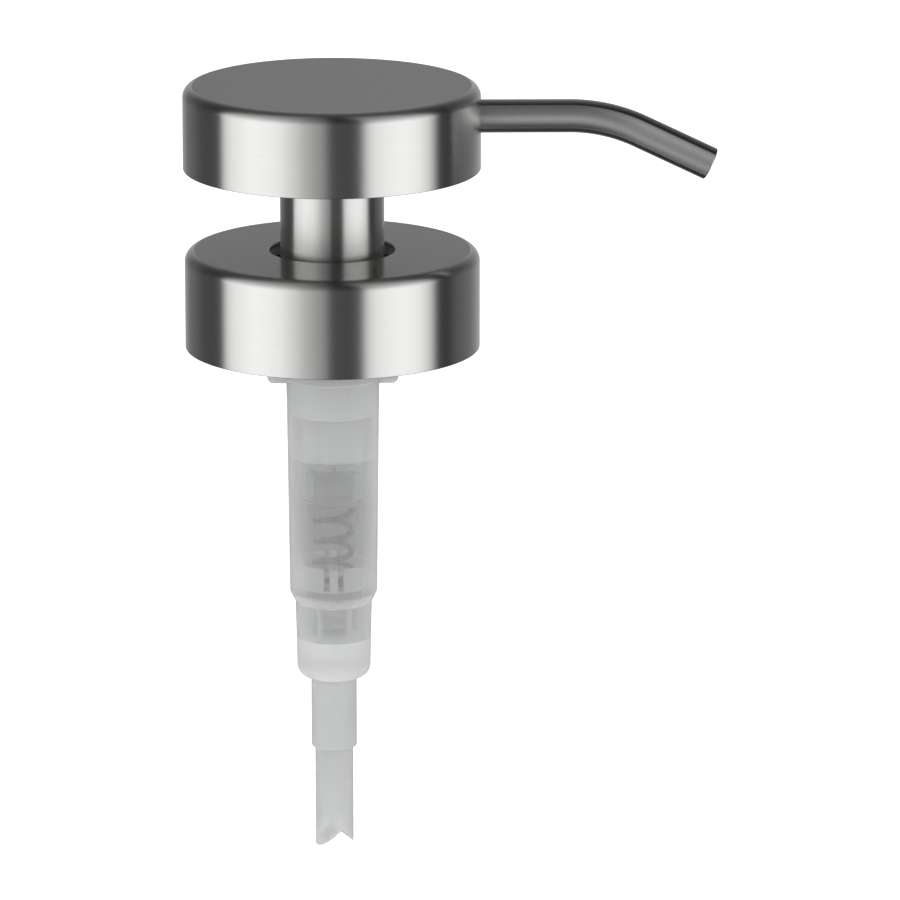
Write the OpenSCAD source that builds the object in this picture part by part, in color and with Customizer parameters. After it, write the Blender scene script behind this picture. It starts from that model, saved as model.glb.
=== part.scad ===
// Soap pump dispenser with a round steel head and collar, for a screw-neck bottle.
// Millimetres, +Z up. The origin is on the pump's axis, in the plane where the
// gasket's underside meets the bottle's rim. The spout points along +X.
// The tall parts are turned: each is a profile of [radius, height] points.

/* [Head] */
// Outer diameter of the round head
head_d = 54.2; // [50:0.1:60]
// Height of the head
head_h = 15.25; // [14.8:0.05:20]
// Radius of the rounded edge round the top of the head
head_edge_r = 2; // [1:0.1:3]
// Clear gap between the head and the collar at rest
head_gap = 15.2; // [14:0.1:24]
// Thickness of the pressed steel sheet of the head and the collar
sheet_t = 0.8; // [0.6:0.1:1]

/* [Spout] */
// Outer diameter of the spout's tube
spout_d = 6.1; // [5:0.1:6.4]
// Wall thickness of the spout's tube
spout_wall = 0.5; // [0.4:0.1:0.8]
// Height of the spout's centreline above the underside of the head
spout_rise = 9.45; // [8.8:0.05:9.6]
// Distance from the pump's axis to the corner where the spout's two straight lines meet
spout_reach = 49.9; // [44:0.1:80]
// Length of the lower straight line, from that corner to the mouth
spout_drop_len = 21; // [18:0.1:40]
// Angle that the spout bends down, in degrees
spout_bend = 25.5; // [15:0.5:35]
// Bend radius of the spout's centreline
spout_bend_r = 30; // [20:1:32]

/* [Sleeve and stem] */
// Outer diameter of the steel sleeve under the head
sleeve_d = 19; // [18:0.1:19.6]
// Wall thickness of the sleeve
sleeve_wall = 0.8; // [0.6:0.1:1]
// Length of the sleeve that stands inside the collar at rest
sleeve_tail = 4.5; // [3:0.1:5.6]
// Outer diameter of the hollow stem inside the sleeve
stem_d = 8; // [7.6:0.1:8.2]
// Travel of the head from rest to fully pressed
stroke = 12; // [8:0.5:12]

/* [Collar] */
// Outer diameter of the collar
collar_d = 53.8; // [52:0.1:60]
// Height of the collar
collar_h = 18; // [17:0.1:22]
// Radius of the rounded edge round the top of the collar
collar_edge_r = 2; // [1:0.1:3]
// Diameter of the hole that the sleeve passes through
collar_hole_d = 23; // [22:0.1:23.4]

/* [Bottle neck] */
// Diameter of the collar's thread at its root
thread_root_d = 38; // [37.6:0.1:38.4]
// Diameter of the collar's thread at its crest
thread_crest_d = 35.5; // [35.2:0.1:36]
// Pitch of the thread
thread_pitch = 4.23; // [3.6:0.01:4.3]
// Turns of the thread
thread_turns = 2; // [1.5:0.25:2]
// Thickness of the neck gasket
gasket_t = 1.5; // [1:0.1:1.6]
// Outer diameter of the neck gasket
gasket_d = 35; // [34:0.1:35.2]

/* [Pump] */
// Outer diameter of the stem well, which stands inside the bottle's neck
well_d = 23.9; // [23.6:0.1:24.4]
// Depth of the stem well below the bottle's rim
well_depth = 16.3; // [16.3:0.1:20]
// Width across the two ears of the flange at the top of the pump housing
flange_d = 24; // [23:0.1:24.2]
// Width of each ear
ear_w = 8; // [7:0.5:12]
// Outer diameter of the housing just under its flange
housing_top_d = 17.1; // [16.9:0.1:17.5]
// Outer diameter of the housing at the bottom of the wide chamber
housing_step_d = 16.1; // [16:0.1:16.5]
// Bore of the wide chamber, in which the piston slides
chamber_bore_d = 14.4; // [14.4:0.1:14.5]
// Length of the wide chamber, below the flange
chamber_len = 40.4; // [40.4:0.1:44]
// Length of the narrow valve chamber
valve_len = 14.45; // [14.4:0.05:15]
// Length of the socket that holds the dip tube
socket_len = 13.4; // [10:0.1:20]
// Diameter of the inlet valve's ball
ball_d = 4.76; // [4.5:0.01:4.8]

/* [Spring] */
// Outer diameter of the return spring
spring_d = 7.9; // [7:0.1:8]
// Wire diameter of the return spring
wire_d = 1.1; // [0.8:0.1:1.2]
// Open turns of the spring, between its closed ends
open_turns = 7; // [5:0.25:7.5]
// Direction of the spring's lower end, turned from the spout's direction, in degrees
spring_turn = 190; // [0:5:355]

/* [Dip tube] */
// Outer diameter of the dip tube
tube_d = 7.04; // [6.8:0.01:7.06]
// Bore of the dip tube
tube_bore_d = 5; // [4.6:0.1:5.4]
// Length of the dip tube below its socket
tube_free_len = 18.95; // [10:0.05:60]
// Depth of the notch that keeps the tube's end open on the bottle's floor
notch_depth = 3.2; // [2:0.1:5]
// Direction of the notch, turned from the spout's direction, in degrees
notch_turn = 22; // [0:1:45]

/* [Hidden] */
$fn = 96;

// Gaps between pieces: a fixed fit, a running fit, and the play of a face that slides on another
fixed_gap = 0.05;
running_gap = 0.06;
face_gap = 0.05;
// Length by which a cutting tool runs past the face that it cuts
past = 1;

// Colours of the materials
steel = [0.70, 0.70, 0.69];
dark_plastic = [0.17, 0.17, 0.17];
frosted_plastic = [0.86, 0.87, 0.88, 0.75];
white_plastic = [0.92, 0.92, 0.91];
spring_steel = [0.45, 0.45, 0.46];
rubber = [0.12, 0.12, 0.12];

// Heights of the collar's layers, counted up from the bottle's rim at 0
lip_t = 1.2;
web_t = 1.85;
lip_top = gasket_t + lip_t;
web_top = lip_top + web_t;
collar_top = web_top + sheet_t;
collar_bottom = collar_top - collar_h;

// Heights of the head
head_bottom = collar_top + head_gap;
head_top = head_bottom + head_h;
spout_z = head_bottom + spout_rise;
base_t = 1;
base_inset = 0.4;
base_top = head_bottom + base_inset + base_t;
sleeve_bottom = collar_top - sleeve_tail;

// Radii that several pieces share
head_r = head_d / 2;
collar_r = collar_d / 2;
sleeve_r = sleeve_d / 2;
sleeve_bore_r = sleeve_r - sleeve_wall;
stem_r = stem_d / 2;
stem_bore_r = 2;
spout_r = spout_d / 2;
spout_bore_r = spout_r - spout_wall;
well_r = well_d / 2;
well_wall = 1.2;
chamber_r = chamber_bore_d / 2;
seal_wire_r = 0.7;

// Heights of the pump housing, counted down from the bottle's rim
well_floor_bottom = -well_depth;
well_floor_t = 1.2;
well_floor_top = well_floor_bottom + well_floor_t;
flange_top = well_floor_bottom - face_gap;
flange_t = 2.2;
flange_bottom = flange_top - flange_t;
spigot_top = well_floor_top + 1;
chaplet_seat = spigot_top - 1.5;
step_top = flange_bottom - chamber_len;
step_bottom = step_top - 2.05;
housing_bottom = step_bottom - valve_len;
socket_bottom = housing_bottom - socket_len;
tube_bottom = socket_bottom - tube_free_len;

// The housing's radii: spigot, narrow chamber, rounded bottom and dip tube socket
spigot_r = 8.8;
spigot_bead = 0.35;
flange_ring_r = 9.3;
narrow_top_r = 7.05;
narrow_bottom_r = 6.75;
narrow_bore_r = 5.75;
bottom_edge_r = 2.6;
socket_r = 4.2;
socket_bore_r = tube_d / 2 + 0.04;
inlet_r = 1.3;

// The inlet valve: a ball on a 45 degree seat, with a cage over it
ball_r = ball_d / 2;
floor_z = housing_bottom + 3.7;
seat_top_r = 2.6;
seat_top_z = floor_z - 0.95;
seat_bottom_z = seat_top_z - (seat_top_r - inlet_r);
seat_play = 0.03;
ball_z = seat_bottom_z - inlet_r + ball_r * sqrt(2) + seat_play;
ball_lift = 1.8;
cage_floor_bottom = ball_z + ball_r + ball_lift + 0.07;
cage_floor_t = 0.8;
cage_floor_top = cage_floor_bottom + cage_floor_t;
cage_r = 5.55;
cage_wall = 0.9;
crown_r = chamber_r - 0.1;
crown_wall = 1;

// The plunger: a body under the chaplet, and a neck that carries the piston and the spring
plunger_top = chaplet_seat - 0.1;
plunger_r = 5.6;
neck_top = -35;
neck_r = 4.9;
plunger_flange_r = 5.9;
plunger_flange_t = 0.8;
plunger_bottom = -42.1;
spring_seat = neck_top - 1;
spring_cavity_r = 4.25;
stem_spigot_r = 3;
stem_spigot_len = 8;
port_r = 0.5;
port_z = neck_top + 0.55;

// The piston slips on the plunger's neck by piston_slip, which opens the outlet ports
piston_slip = 0.8;
piston_bottom = plunger_bottom + plunger_flange_t;
piston_top = neck_top + 1.9;
piston_lip_r = chamber_r - 0.03;
piston_waist_r = chamber_r - 0.5;

// The valve cage's crown ends just below the piston at full stroke
crown_top = piston_bottom - stroke - 0.2;
crown_slot_bottom = crown_top - 4.1;

// Points along an arc, from angle a0 to angle a1 in degrees
function arc(x, z, r, a0, a1, steps = 8) =
    [for (i = [0:steps]) let (a = a0 + (a1 - a0) * i / steps) [x + r * cos(a), z + r * sin(a)]];

// A turned solid from a profile of [radius, height] points
module turned(profile) {
    rotate_extrude() polygon(profile);
}

// A tube or ring between two heights
module ring(outer_r, inner_r, bottom, top) {
    turned([[inner_r, bottom], [outer_r, bottom], [outer_r, top], [inner_r, top]]);
}

// A rubber ring round the Z axis
module o_ring(inner_r, z) {
    translate([0, 0, z])
        rotate_extrude() translate([inner_r + seal_wire_r, 0]) circle(seal_wire_r, $fn = 32);
}

// A pressed steel cup, open below, with a rounded top edge and a round hole in its top
module steel_cup(outer_r, top, bottom, edge_r, hole_r) {
    inner_edge_r = edge_r - sheet_t;
    edge_x = outer_r - edge_r;
    edge_z = top - edge_r;
    turned(concat(
        [[hole_r, top]],
        arc(edge_x, edge_z, edge_r, 90, 0),
        [[outer_r, bottom], [outer_r - sheet_t, bottom]],
        arc(edge_x, edge_z, inner_edge_r, 0, 90),
        [[hole_r, top - sheet_t]]
    ));
}

// ---- Pump body: everything that stays still in the bottle ----

// The housing's outside below its flange, with a rounded bottom and the dip tube's socket
function housing_outside() = concat(
    [[flange_ring_r, flange_bottom + 0.3], [flange_ring_r - 0.3, flange_bottom]],
    [[housing_top_d / 2, flange_bottom - 0.3]],
    [[housing_step_d / 2, step_top], [narrow_top_r, step_bottom]],
    arc(narrow_bottom_r - bottom_edge_r, housing_bottom + bottom_edge_r, bottom_edge_r, 0, -85),
    [[socket_r, socket_bottom + 0.5], [socket_r - 0.3, socket_bottom]]
);

// The housing's inside, from the socket's mouth up to the spigot
function housing_inside() = [
    [socket_bore_r, socket_bottom],
    [socket_bore_r, housing_bottom + 0.4],
    [inlet_r, housing_bottom + 0.4],
    [inlet_r, seat_bottom_z],
    [seat_top_r, seat_top_z],
    [narrow_bore_r, floor_z],
    [narrow_bore_r, step_top - 0.9],
    [chamber_r, step_top + 1.2],
    [chamber_r, chaplet_seat],
    [spigot_r - 0.75, chaplet_seat],
    [spigot_r - 0.75, spigot_top]
];

// The spigot above the flange, with the bead that snaps over the well's floor
function spigot_outside() = [
    [spigot_r, spigot_top],
    [spigot_r + spigot_bead, well_floor_top + 0.6],
    [spigot_r + spigot_bead, well_floor_top + 0.3],
    [spigot_r, well_floor_top + face_gap],
    [spigot_r, flange_top],
    [flange_ring_r, flange_top]
];

// The flange's two ears bear on the underside of the well's floor
module flange_ears() {
    ear_r = flange_d / 2;
    ear_bottom = flange_bottom - 0.4;
    root_r = housing_top_d / 2 - 0.3;
    edge_r = 0.7;
    intersection() {
        turned(concat(
            [[root_r, ear_bottom], [root_r, flange_top]],
            [[ear_r - 0.3, flange_top], [ear_r, flange_top - 0.3]],
            arc(ear_r - edge_r, ear_bottom + edge_r, edge_r, 0, -90, 5)
        ));
        translate([-ear_r - past, -ear_w / 2, ear_bottom - past])
            cube([2 * (ear_r + past), ear_w, flange_t + 3 * past]);
    }
}

module housing() {
    color(frosted_plastic) {
        turned(concat(housing_inside(), spigot_outside(), housing_outside()));
        flange_ears();
    }
}

// The chaplet closes the housing, guides the stem and stops the plunger on its way up
module chaplet() {
    guide_r = stem_r + running_gap;
    rim_r = spigot_r - 0.75 - fixed_gap;
    plug_r = chamber_r - fixed_gap;
    plug_bore_r = plunger_r + 0.4;
    plug_bottom = chaplet_seat - 9.4;
    color(frosted_plastic)
        turned([
            [guide_r, chaplet_seat], [guide_r, spigot_top + 2.4], [guide_r + 1.3, spigot_top + 2.4],
            [guide_r + 1.3, spigot_top], [rim_r, spigot_top], [rim_r, chaplet_seat],
            [plug_r, chaplet_seat], [plug_r, plug_bottom + 0.8], [plug_r - 0.3, plug_bottom],
            [plug_bore_r, plug_bottom], [plug_bore_r, chaplet_seat]
        ]);
}

// The stem well hangs inside the neck by its lip and leaves room for the sleeve's travel
module stem_well() {
    lip_r = 16.5;
    bore_r = well_r - well_wall;
    floor_hole_r = spigot_r + fixed_gap;
    color(dark_plastic)
        turned([
            [floor_hole_r, well_floor_bottom], [well_r, well_floor_bottom], [well_r, gasket_t],
            [lip_r, gasket_t], [lip_r, lip_top - face_gap], [bore_r, lip_top - face_gap],
            [bore_r, well_floor_top], [floor_hole_r, well_floor_top]
        ]);
}

module neck_gasket() {
    gasket_hole_r = well_r + 1.05;
    color(white_plastic) ring(gasket_d / 2, gasket_hole_r, 0, gasket_t);
}

// The valve cage: a slotted crown, a funnel, a windowed tube and the ball's thick guide ring
module valve_cage() {
    crown_bore_r = crown_r - crown_wall;
    tube_bore_r = cage_r - cage_wall;
    funnel_top = step_top + 1.1;
    funnel_bottom = step_top - 1.05;
    guide_bottom = floor_z + 0.6;
    window_count = 6;
    window_turn = -88;
    bar_w = 0.6;
    slot_w = 1.1;
    slot_spread = 21;
    color(frosted_plastic) {
        difference() {
            union() {
                turned([
                    [crown_bore_r, crown_top], [crown_r, crown_top], [crown_r, funnel_top],
                    [cage_r, funnel_bottom], [cage_r, guide_bottom], [ball_r + 0.8, guide_bottom],
                    [ball_r + 0.8, cage_floor_bottom], [2.9, cage_floor_bottom],
                    [2.9, cage_floor_top], [tube_bore_r, cage_floor_top],
                    [tube_bore_r, funnel_bottom], [crown_bore_r, funnel_top]
                ]);
                for (turn = [0, 90])
                    rotate([0, 0, turn])
                        translate([-3.3, -0.45, cage_floor_bottom]) cube([6.6, 0.9, cage_floor_t]);
            }
            for (pair = [0:90:270], side = [-0.5, 0.5])
                rotate([0, 0, pair + side * slot_spread])
                    translate([crown_bore_r - past, -slot_w / 2, crown_slot_bottom])
                        cube([crown_wall + 2 * past, slot_w, crown_top - crown_slot_bottom + past]);
            for (i = [0:window_count - 1])
                rotate([0, 0, window_turn + i * 360 / window_count])
                    window_cutter(cage_floor_top, funnel_bottom - 1.5, bar_w, window_count);
        }
    }
}

// A wedge-shaped cutter for one cage window, leaving half a bar of bar_w on each side
module window_cutter(bottom, top, bar_w, count) {
    half_angle = 180 / count - asin(bar_w / 2 / cage_r);
    far = cage_r * 1.6;
    near = 3.6;
    translate([0, 0, bottom])
        linear_extrude(top - bottom)
            polygon([
                [near, -near * tan(half_angle)], [far, -far * tan(half_angle)],
                [far, far * tan(half_angle)], [near, near * tan(half_angle)]
            ]);
}

module inlet_ball() {
    color(spring_steel) translate([0, 0, ball_z]) sphere(ball_r, $fn = 64);
}

// The dip tube: cut aslant at its upper end and notched at its lower end
module dip_tube() {
    slant = 16;
    tube_top = housing_bottom + 0.2;
    tube_r = tube_d / 2;
    slant_drop = tube_r * tan(slant);
    color(frosted_plastic)
        difference() {
            ring(tube_r, tube_bore_d / 2, tube_bottom, tube_top);
            translate([0, 0, tube_top - slant_drop])
                rotate([0, -slant, 0])
                    translate([-tube_d, -tube_d, 0]) cube([2 * tube_d, 2 * tube_d, tube_d]);
            rotate([0, 0, notch_turn])
                translate([0, tube_d, tube_bottom])
                    rotate([90, 0, 0])
                        linear_extrude(2 * tube_d)
                            polygon([[-tube_r, 0], [0, notch_depth], [tube_r, 0],
                                     [tube_r, -past], [-tube_r, -past]]);
        }
}

// The spring's centreline at a given turn: closed end turns and evenly open turns between
closed_turns = 1;
closed_pitch = wire_d * 1.06;
spring_bottom = cage_floor_top;
spring_rise = spring_seat - spring_bottom - wire_d;
open_pitch = (spring_rise - 2 * closed_turns * closed_pitch) / open_turns;
spring_turns = open_turns + 2 * closed_turns;
function coil_height(turn) =
    spring_bottom + wire_d / 2
    + closed_pitch * min(turn, closed_turns)
    + open_pitch * min(max(turn - closed_turns, 0), open_turns)
    + closed_pitch * max(turn - closed_turns - open_turns, 0);

// Rings of points round a helix, closed into a tube by side and end faces
module helix_tube(radius, wire_r, turns, steps_per_turn, sides) {
    steps = round(turns * steps_per_turn);
    rings = [for (i = [0:steps], k = [0:sides - 1])
        let (turn = i / steps_per_turn, a = spring_turn + turn * 360,
             b = k * 360 / sides, r = radius + wire_r * cos(b))
            [r * cos(a), r * sin(a), coil_height(turn) + wire_r * sin(b)]];
    walls = [for (i = [0:steps - 1], k = [0:sides - 1])
        let (n = (k + 1) % sides)
            [i * sides + k, i * sides + n, (i + 1) * sides + n, (i + 1) * sides + k]];
    start_cap = [[for (k = [sides - 1:-1:0]) k]];
    end_cap = [[for (k = [0:sides - 1]) steps * sides + k]];
    polyhedron(rings, concat(walls, start_cap, end_cap));
}

module return_spring() {
    color(spring_steel)
        helix_tube((spring_d - wire_d) / 2, wire_d / 2, spring_turns, 24, 8);
}

// ---- Plunger and piston: what slides in the housing ----

// The piston: a soft ring with two lips on the bore and a waist between them
module piston() {
    top_seal_r = plunger_r + running_gap;
    top_seal_len = 0.8;
    slip_bore_r = plunger_r + 0.4;
    neck_bore_r = neck_r + 0.12;
    slip_shoulder = neck_top - piston_slip - face_gap;
    color(white_plastic)
        turned([
            [neck_bore_r, piston_bottom], [piston_lip_r - 0.5, piston_bottom],
            [piston_lip_r, piston_bottom + 0.3], [piston_lip_r, piston_bottom + 0.9],
            [piston_waist_r, piston_bottom + 1.9], [piston_waist_r, piston_top - 1.9],
            [piston_lip_r, piston_top - 0.9], [piston_lip_r, piston_top - 0.3],
            [piston_lip_r - 0.3, piston_top], [top_seal_r, piston_top],
            [top_seal_r, piston_top - top_seal_len], [slip_bore_r, piston_top - top_seal_len],
            [slip_bore_r, slip_shoulder], [neck_bore_r, slip_shoulder]
        ]);
}

module plunger() {
    socket_floor = plunger_top - stem_spigot_len - 0.1;
    color(frosted_plastic)
        difference() {
            turned([
                [0, plunger_top], [plunger_r, plunger_top], [plunger_r, neck_top],
                [neck_r, neck_top], [neck_r, plunger_bottom + plunger_flange_t],
                [plunger_flange_r, plunger_bottom + plunger_flange_t],
                [plunger_flange_r, plunger_bottom + 0.3], [plunger_flange_r - 0.3, plunger_bottom],
                [0, plunger_bottom]
            ]);
            translate([0, 0, socket_floor])
                cylinder(h = stem_spigot_len + past, r = stem_spigot_r + running_gap);
            translate([0, 0, port_z - port_r])
                cylinder(h = socket_floor - port_z + port_r + past, r = stem_bore_r);
            translate([0, 0, plunger_bottom - past])
                cylinder(h = spring_seat - plunger_bottom + past, r = spring_cavity_r);
            for (turn = [0:90:270])
                rotate([0, 0, turn])
                    translate([stem_bore_r / 2, 0, port_z])
                        rotate([0, 90, 0]) cylinder(h = plunger_r, r = port_r);
        }
}

// ---- Head: what swivels on the plunger ----

stem_top = head_bottom + 4.7;
core_spigot_bottom = head_bottom - 2.6;
core_bottom = base_top + fixed_gap;
core_top = head_top - sheet_t - fixed_gap;

// The hollow stem joins the head to the plunger
module stem() {
    shoulder = plunger_top + face_gap;
    spigot_bottom = plunger_top - stem_spigot_len;
    color(white_plastic)
        turned([
            [stem_bore_r, stem_top], [stem_r - 0.3, stem_top], [stem_r, stem_top - 0.3],
            [stem_r, shoulder], [stem_spigot_r, shoulder],
            [stem_spigot_r, spigot_bottom], [stem_bore_r, spigot_bottom]
        ]);
}

stem_seal_z = head_bottom - 0.2;
module stem_seal() {
    color(rubber) o_ring(stem_r + running_gap, stem_seal_z);
}

// The spacer that centres the stem in the sleeve: two collars on a thin tube
module sleeve_core() {
    collar_len = 2.6;
    tube_r = stem_r + 1.6;
    outer_r = sleeve_bore_r - fixed_gap;
    bottom = sleeve_bottom + 0.4;
    top = core_spigot_bottom - 0.1;
    bore_r = stem_r + fixed_gap;
    color(white_plastic)
        turned([
            [bore_r, bottom], [outer_r, bottom], [outer_r, bottom + collar_len],
            [tube_r, bottom + collar_len + 1], [tube_r, top - collar_len - 1],
            [outer_r, top - collar_len], [outer_r, top], [bore_r, top]
        ]);
}

module sleeve() {
    color(steel) ring(sleeve_r, sleeve_bore_r, sleeve_bottom, base_top);
}

// The moulded core of the head: it holds the sleeve, the stem's top and the spout's inner end
module head_core() {
    core_r = 12;
    arm_w = 11;
    arm_h = 2 * (core_top - spout_z);
    spout_start = 8;
    color(white_plastic)
        difference() {
            union() {
                translate([0, 0, core_bottom]) cylinder(h = core_top - core_bottom, r = core_r);
                translate([0, 0, core_spigot_bottom])
                    cylinder(h = core_bottom - core_spigot_bottom, r = sleeve_bore_r - fixed_gap);
                intersection() {
                    translate([0, -arm_w / 2, core_top - arm_h]) cube([head_r, arm_w, arm_h]);
                    translate([0, 0, core_bottom])
                        cylinder(h = core_top - core_bottom, r = head_r - head_edge_r);
                }
            }
            translate([0, 0, core_spigot_bottom - past])
                cylinder(h = stem_top - core_spigot_bottom + past, r = stem_r + fixed_gap);
            translate([0, 0, stem_seal_z - seal_wire_r - 0.1])
                cylinder(h = 2 * seal_wire_r + 0.2, r = stem_r + 2 * seal_wire_r + 0.12);
            translate([0, 0, stem_top - past])
                cylinder(h = spout_z - stem_top + past, r = stem_bore_r);
            translate([0, 0, spout_z]) rotate([0, 90, 0]) cylinder(h = spout_start + past, r = stem_bore_r);
            translate([spout_start, 0, spout_z])
                rotate([0, 90, 0]) cylinder(h = head_r, r = spout_r + fixed_gap);
            translate([spout_seal_x - seal_wire_r - 0.1, 0, spout_z])
                rotate([0, 90, 0])
                    cylinder(h = 2 * seal_wire_r + 0.2, r = spout_r + 2 * seal_wire_r + 0.12);
        }
}

module head_base() {
    color(steel)
        ring(head_r - sheet_t - fixed_gap, sleeve_r + fixed_gap, head_bottom + base_inset, base_top);
}

module head_shell() {
    color(steel)
        difference() {
            steel_cup(head_r, head_top, head_bottom, head_edge_r, 0);
            translate([head_r / 2, 0, spout_z])
                rotate([0, 90, 0]) cylinder(h = head_r, r = spout_r + fixed_gap);
        }
}

// The spout: a straight stretch out of the head, one bend and a straight stretch to the mouth.
// The tube's wall draws in a little in the bend, and laps into the straight stretches.
spout_inner_x = 8.6;
spout_tangent = spout_bend_r * tan(spout_bend / 2);
spout_bend_x = spout_reach - spout_tangent;
mouth_chamfer = 0.25;
bend_draw = 0.03;
bend_lap = 1;
module spout_tube() {
    leg_len = spout_drop_len - spout_tangent;
    leg_x = spout_bend_x + spout_bend_r * sin(spout_bend);
    leg_z = spout_z - spout_bend_r * (1 - cos(spout_bend));
    color(steel)
        union() {
            translate([spout_inner_x, 0, spout_z])
                rotate([0, 90, 0]) ring(spout_r, spout_bore_r, 0, spout_bend_x - spout_inner_x);
            translate([spout_bend_x, 0, spout_z - spout_bend_r])
                rotate([0, -90, -90])
                    rotate([0, 0, -bend_lap])
                        rotate_extrude(angle = spout_bend + 2 * bend_lap)
                            translate([spout_bend_r, 0])
                                difference() {
                                    circle(spout_r - bend_draw);
                                    circle(spout_bore_r + bend_draw);
                                }
            translate([leg_x, 0, leg_z])
                rotate([0, 90 + spout_bend, 0])
                    turned([
                        [spout_bore_r, 0], [spout_r, 0], [spout_r, leg_len - mouth_chamfer],
                        [spout_r - mouth_chamfer, leg_len], [spout_bore_r, leg_len]
                    ]);
        }
}

spout_seal_x = 12;
module spout_seal() {
    color(rubber)
        translate([spout_seal_x, 0, spout_z])
            rotate([0, 90, 0]) o_ring(spout_r + running_gap, 0);
}

// ---- Collar: what screws onto the bottle and turns on the well's lip ----

// The thread's ridge: a trapezium swept down round the inside of the insert
module thread_ridge() {
    steps_per_turn = 36;
    steps = round(thread_turns * steps_per_turn);
    start_z = -1.7;
    root_r = thread_root_d / 2 + 0.15;
    crest_r = thread_crest_d / 2;
    root_half = 1.15;
    crest_half = 0.45;
    points = [for (i = [0:steps])
        let (a = -i * 360 / steps_per_turn, z = start_z - thread_pitch * i / steps_per_turn)
            each [
                [root_r * cos(a), root_r * sin(a), z - root_half],
                [crest_r * cos(a), crest_r * sin(a), z - crest_half],
                [crest_r * cos(a), crest_r * sin(a), z + crest_half],
                [root_r * cos(a), root_r * sin(a), z + root_half]
            ]];
    walls = [for (i = [0:steps - 1], k = [0:3])
        let (n = (k + 1) % 4) [i * 4 + k, i * 4 + n, (i + 1) * 4 + n, (i + 1) * 4 + k]];
    polyhedron(points, concat(walls, [[3, 2, 1, 0]], [[for (k = [0:3]) steps * 4 + k]]));
}

// The moulded insert: a web, a threaded wall, an outer wall and ribs between them
module collar_insert() {
    skirt_bottom = collar_bottom + 0.6;
    outer_r = collar_r - sheet_t - fixed_gap;
    outer_wall = 1.2;
    thread_r = thread_root_d / 2;
    thread_wall = 1.4;
    hole_r = well_r + 0.25;
    corner = collar_edge_r - sheet_t;
    rib_count = 12;
    rib_w = 1.2;
    color(white_plastic)
        union() {
            turned([
                [hole_r, lip_top], [hole_r, web_top], [outer_r - corner, web_top],
                [outer_r, web_top - corner], [outer_r, skirt_bottom],
                [outer_r - outer_wall, skirt_bottom], [outer_r - outer_wall, lip_top],
                [thread_r + thread_wall, lip_top], [thread_r + thread_wall, skirt_bottom],
                [thread_r, skirt_bottom], [thread_r, lip_top]
            ]);
            for (i = [0:rib_count - 1])
                rotate([0, 0, (i + 0.5) * 360 / rib_count])
                    translate([thread_r + thread_wall / 2, -rib_w / 2, skirt_bottom + 0.6])
                        cube([outer_r - thread_r - thread_wall / 2 - outer_wall / 2, rib_w,
                              lip_top - skirt_bottom]);
            thread_ridge();
        }
}

module collar_shell() {
    color(steel) steel_cup(collar_r, collar_top, collar_bottom, collar_edge_r, collar_hole_d / 2);
}

housing();
chaplet();
stem_well();
neck_gasket();
valve_cage();
inlet_ball();
dip_tube();
return_spring();
piston();
plunger();
stem();
stem_seal();
sleeve_core();
sleeve();
head_core();
head_base();
head_shell();
spout_tube();
spout_seal();
collar_insert();
collar_shell();
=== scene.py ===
# Looks of the soap pump dispenser: materials, turned pieces with real edges, studio and camera.
# Lengths in profiles are millimetres; everything in the scene is in metres, in the CAD frame.
import math

import bmesh
import bpy
from mathutils import Matrix, Vector


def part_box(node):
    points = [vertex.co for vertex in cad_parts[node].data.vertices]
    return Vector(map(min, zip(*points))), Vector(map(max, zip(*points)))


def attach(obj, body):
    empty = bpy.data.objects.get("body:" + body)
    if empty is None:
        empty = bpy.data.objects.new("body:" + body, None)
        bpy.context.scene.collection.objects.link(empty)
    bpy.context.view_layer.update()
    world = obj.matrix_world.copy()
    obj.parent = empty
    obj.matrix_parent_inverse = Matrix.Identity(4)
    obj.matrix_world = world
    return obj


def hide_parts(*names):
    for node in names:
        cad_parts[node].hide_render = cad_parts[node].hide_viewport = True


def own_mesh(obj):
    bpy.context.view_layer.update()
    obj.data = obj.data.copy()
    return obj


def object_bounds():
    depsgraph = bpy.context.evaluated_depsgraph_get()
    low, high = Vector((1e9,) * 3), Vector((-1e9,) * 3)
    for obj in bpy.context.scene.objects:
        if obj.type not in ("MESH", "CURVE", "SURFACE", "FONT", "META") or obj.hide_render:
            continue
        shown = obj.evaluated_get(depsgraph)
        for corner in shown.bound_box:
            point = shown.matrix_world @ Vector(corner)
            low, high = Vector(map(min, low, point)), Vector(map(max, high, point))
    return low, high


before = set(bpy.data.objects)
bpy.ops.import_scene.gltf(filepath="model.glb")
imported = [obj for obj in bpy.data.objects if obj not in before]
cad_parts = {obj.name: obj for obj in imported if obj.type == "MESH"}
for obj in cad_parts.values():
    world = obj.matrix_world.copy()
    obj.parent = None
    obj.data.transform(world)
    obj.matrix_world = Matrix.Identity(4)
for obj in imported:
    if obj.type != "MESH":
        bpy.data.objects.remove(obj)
cad_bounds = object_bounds()

MM = 0.001
STEEL_SEGMENTS = 256
PLASTIC_SEGMENTS = 160
SHARP_ANGLE = math.radians(28)
ON_AXIS = 1e-6
FLAT_TOLERANCE = 0.01
FACE_MARGIN = 0.1


def span(node):
    """Outer radius, bottom and top of a turned CAD node, in millimetres."""
    low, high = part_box(node)
    return high[0] / MM, low[2] / MM, high[2] / MM


# ---- Outlines and turned meshes ----

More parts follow.
